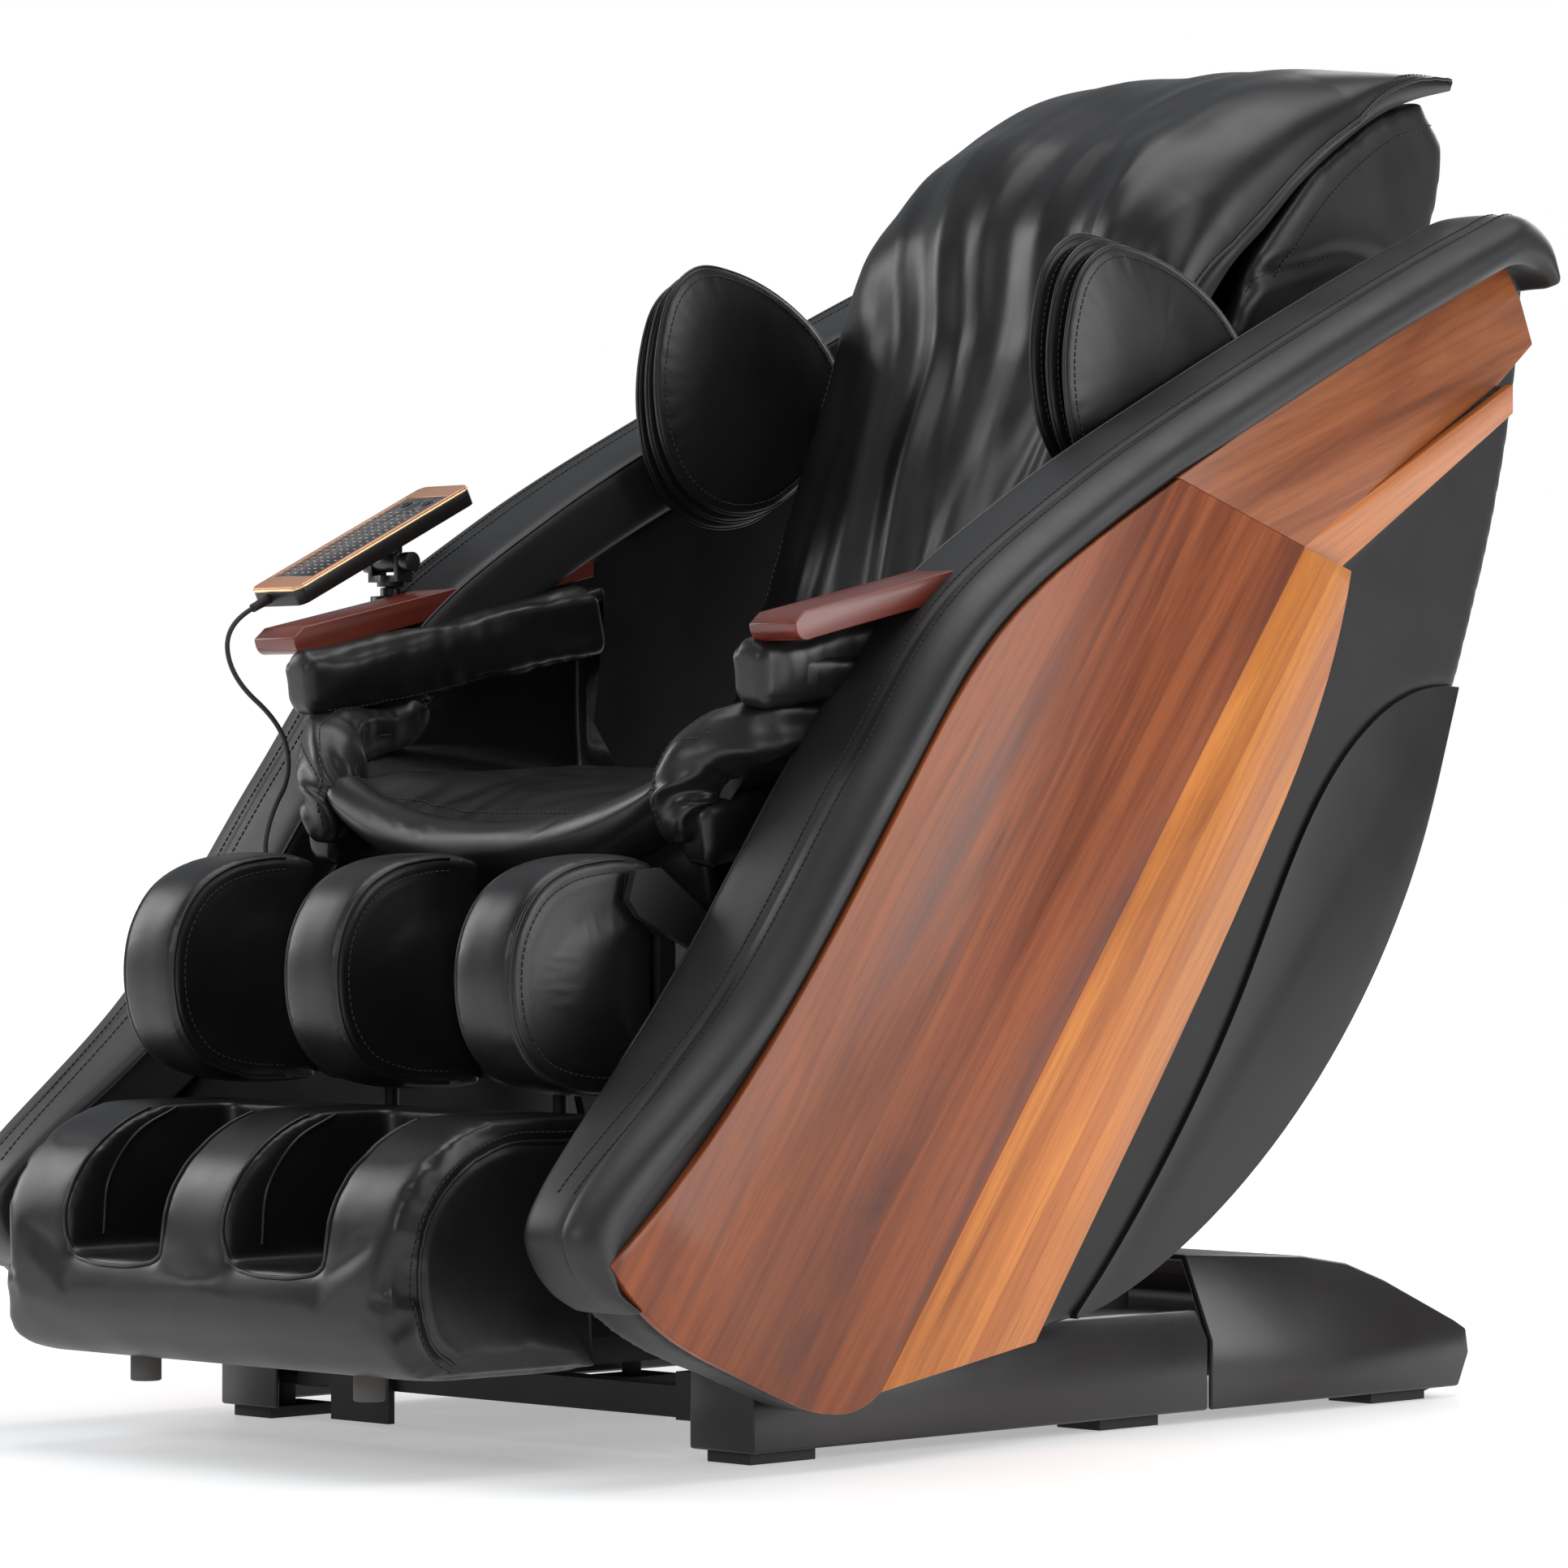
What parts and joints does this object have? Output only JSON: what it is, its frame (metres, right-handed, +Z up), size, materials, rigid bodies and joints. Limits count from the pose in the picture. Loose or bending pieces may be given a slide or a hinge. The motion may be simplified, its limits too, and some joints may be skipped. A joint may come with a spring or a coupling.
{
  "type": "massage chair",
  "caption": "Reclining massage chair: shell sides with wood panels, padded seat and back, calf and foot wells, wired remote.",
  "frame": {"origin": "on the floor, in the middle of the chair's footprint", "axes": "+Z up, the chair faces -Y, +X is the sitter's left"},
  "size_m": [0.806, 1.3596, 1.2336],
  "materials": {
    "black_steel": "powder-coated satin black",
    "black_plastic": "satin black-brown moulding",
    "rubber": "matt black",
    "black_leather": "soft satin black upholstery leather",
    "red_brown_wood": "lacquered red-brown veneer, satin",
    "amber_wood": "lacquered amber veneer, satin",
    "cherry_wood": "lacquered cherry red wood",
    "bright_steel": "zinc-plated steel",
    "grey_metal": "die-cast aluminium",
    "roller_plastic": "hard nylon roller",
    "copper_trim": "copper-coloured satin trim",
    "gloss_black": "gloss black key field"
  },
  "bodies": {
    "base": {"base_frame": "black_steel", "foot_pads": "rubber", "base_side_cover_left": "black_plastic", "base_side_cover_right": "black_plastic", "base_rear_cover": "black_plastic", "power_inlet": "black_plastic"},
    "wheels": {"transport_wheels": "rubber"},
    "switch": {"power_switch": "black_plastic"},
    "carriage": {"carriage_frame": "black_steel", "control_box": "black_plastic", "air_pump": "grey_metal", "tilt_actuator": "black_steel"},
    "tilt_rod": {"tilt_actuator_rod": "bright_steel"},
    "seat": {"seat_frame": "black_steel", "seat_cushion": "black_leather", "seat_side_pads": "black_leather", "shell_core_left": "black_plastic", "shell_core_right": "black_plastic", "shell_bolster_left": "black_leather", "shell_bolster_right": "black_leather", "shell_rear_cover_left": "black_plastic", "shell_rear_cover_right": "black_plastic", "wood_panel_left": "red_brown_wood", "wood_panel_right": "red_brown_wood", "wood_strip_left": "amber_wood", "wood_strip_right": "amber_wood", "wood_cap_left": "red_brown_wood", "wood_cap_right": "red_brown_wood", "armrest_left": "cherry_wood", "armrest_right": "cherry_wood", "arm_sleeve_left": "black_leather", "arm_sleeve_right": "black_leather", "recline_actuator": "black_steel", "leg_actuator": "black_steel", "remote_stand": "black_plastic", "remote_cord": "rubber", "cord_grommet": "rubber"},
    "recline_rod": {"recline_actuator_rod": "bright_steel"},
    "leg_rod": {"leg_actuator_rod": "bright_steel"},
    "backrest": {"back_frame": "black_steel", "back_pad": "black_leather", "back_cover": "black_leather"},
    "airbag_left": {"shoulder_airbag_left": "black_leather"},
    "airbag_right": {"shoulder_airbag_right": "black_leather"},
    "massage_carriage": {"massage_carriage": "bright_steel"},
    "massage_arms": {"massage_arms": "grey_metal"},
    "upper_rollers": {"upper_rollers": "roller_plastic"},
    "lower_rollers": {"lower_rollers": "roller_plastic"},
    "calf_unit": {"calf_frame": "black_steel", "calf_pads": "black_leather"},
    "foot_unit": {"foot_frame": "black_steel", "foot_pad": "black_leather", "foot_rubbers": "rubber"},
    "remote_yoke": {"remote_yoke": "black_plastic"},
    "remote": {"remote_body": "black_plastic", "remote_bezel": "copper_trim", "remote_keypad": "gloss_black", "remote_strain_relief": "rubber"},
    "power_key": {"power_key": "gloss_black"},
    "pause_key": {"pause_key": "gloss_black"}
  },
  "joints": [
    {"name": "transport_wheel_spin", "type": "hinge", "parent": "base", "child": "wheels", "pos_m": [0, 0.53, 0.03], "axis": [1, 0, 0], "continuous": true},
    {"name": "power_switch_rock", "type": "hinge", "parent": "base", "child": "switch", "pos_m": [0.231, 0.514, 0.089], "axis": [1, 0, 0], "range_deg": [0, 8]},
    {"name": "carriage_slide", "type": "slide", "parent": "base", "child": "carriage", "axis": [0, -1, 0], "range_m": [0, 0.1]},
    {"name": "tilt_rod_slide", "type": "slide", "parent": "carriage", "child": "tilt_rod", "axis": [0, 0.4431, 0.8965], "range_m": [0, 0.0602]},
    {"name": "seat_tilt", "type": "hinge", "parent": "carriage", "child": "seat", "pos_m": [0, 0.02, 0.23], "axis": [-1, 0, 0], "range_deg": [0, 12]},
    {"name": "back_recline", "type": "hinge", "parent": "seat", "child": "backrest", "pos_m": [0, 0.06, 0.47], "axis": [-1, 0, 0], "range_deg": [0, 38]},
    {"name": "recline_rod_slide", "type": "slide", "parent": "seat", "child": "recline_rod", "axis": [0, -1, 0], "range_m": [0, 0.0648]},
    {"name": "leg_lift", "type": "hinge", "parent": "seat", "child": "calf_unit", "pos_m": [0, -0.41, 0.465], "axis": [-1, 0, 0], "range_deg": [0, 75]},
    {"name": "leg_rod_slide", "type": "slide", "parent": "seat", "child": "leg_rod", "axis": [0, -1, 0], "range_m": [0, 0.0987]},
    {"name": "foot_extend", "type": "slide", "parent": "calf_unit", "child": "foot_unit", "axis": [0, 0, -1], "range_m": [0, 0.12]},
    {"name": "massage_travel", "type": "slide", "parent": "backrest", "child": "massage_carriage", "axis": [0, 0.3875, 0.9219], "range_m": [0, 0.4]},
    {"name": "massage_knead", "type": "hinge", "parent": "massage_carriage", "child": "massage_arms", "pos_m": [0, 0.22581, 0.6064], "axis": [1, 0, 0], "range_deg": [-4, 4]},
    {"name": "upper_roller_spin", "type": "hinge", "parent": "massage_arms", "child": "upper_rollers", "pos_m": [0, 0.23314, 0.68576], "axis": [1, 0, 0], "continuous": true},
    {"name": "lower_roller_spin", "type": "hinge", "parent": "massage_arms", "child": "lower_rollers", "pos_m": [0, 0.17424, 0.54564], "axis": [1, 0, 0], "continuous": true},
    {"name": "airbag_left_squeeze", "type": "hinge", "parent": "backrest", "child": "airbag_left", "pos_m": [0.258, 0.31163, 0.84152], "axis": [0, -0.3875, -0.9219], "range_deg": [0, 10]},
    {"name": "airbag_right_squeeze", "type": "hinge", "parent": "backrest", "child": "airbag_right", "pos_m": [-0.258, 0.31163, 0.84152], "axis": [0, 0.3875, 0.9219], "range_deg": [0, 10]},
    {"name": "remote_swivel", "type": "hinge", "parent": "seat", "child": "remote_yoke", "pos_m": [-0.36, -0.14, 0.735], "axis": [0, 0, 1], "range_deg": [-30, 30]},
    {"name": "remote_tilt", "type": "hinge", "parent": "remote_yoke", "child": "remote", "pos_m": [-0.36, -0.14, 0.76], "axis": [1, 0, 0], "range_deg": [-15, 0]},
    {"name": "power_key_press", "type": "slide", "parent": "remote", "child": "power_key", "axis": [0, 0.4305, -0.9026], "range_m": [0, 0.0012], "stiffness_N_per_m": 400},
    {"name": "pause_key_press", "type": "slide", "parent": "remote", "child": "pause_key", "axis": [0, 0.4305, -0.9026], "range_m": [0, 0.0012], "stiffness_N_per_m": 400}
  ],
  "couplings": [
    {"joint": "carriage_slide", "follows": "back_recline", "m_per_rad": 0.15078},
    {"joint": "recline_rod_slide", "follows": "back_recline", "m_per_rad": 0.097704},
    {"joint": "tilt_rod_slide", "follows": "seat_tilt", "m_per_rad": 0.28743},
    {"joint": "leg_rod_slide", "follows": "leg_lift", "m_per_rad": 0.075401},
    {"joint": "foot_extend", "follows": "leg_lift", "m_per_rad": 0.091673},
    {"joint": "airbag_right_squeeze", "follows": "airbag_left_squeeze", "ratio": 1}
  ]
}
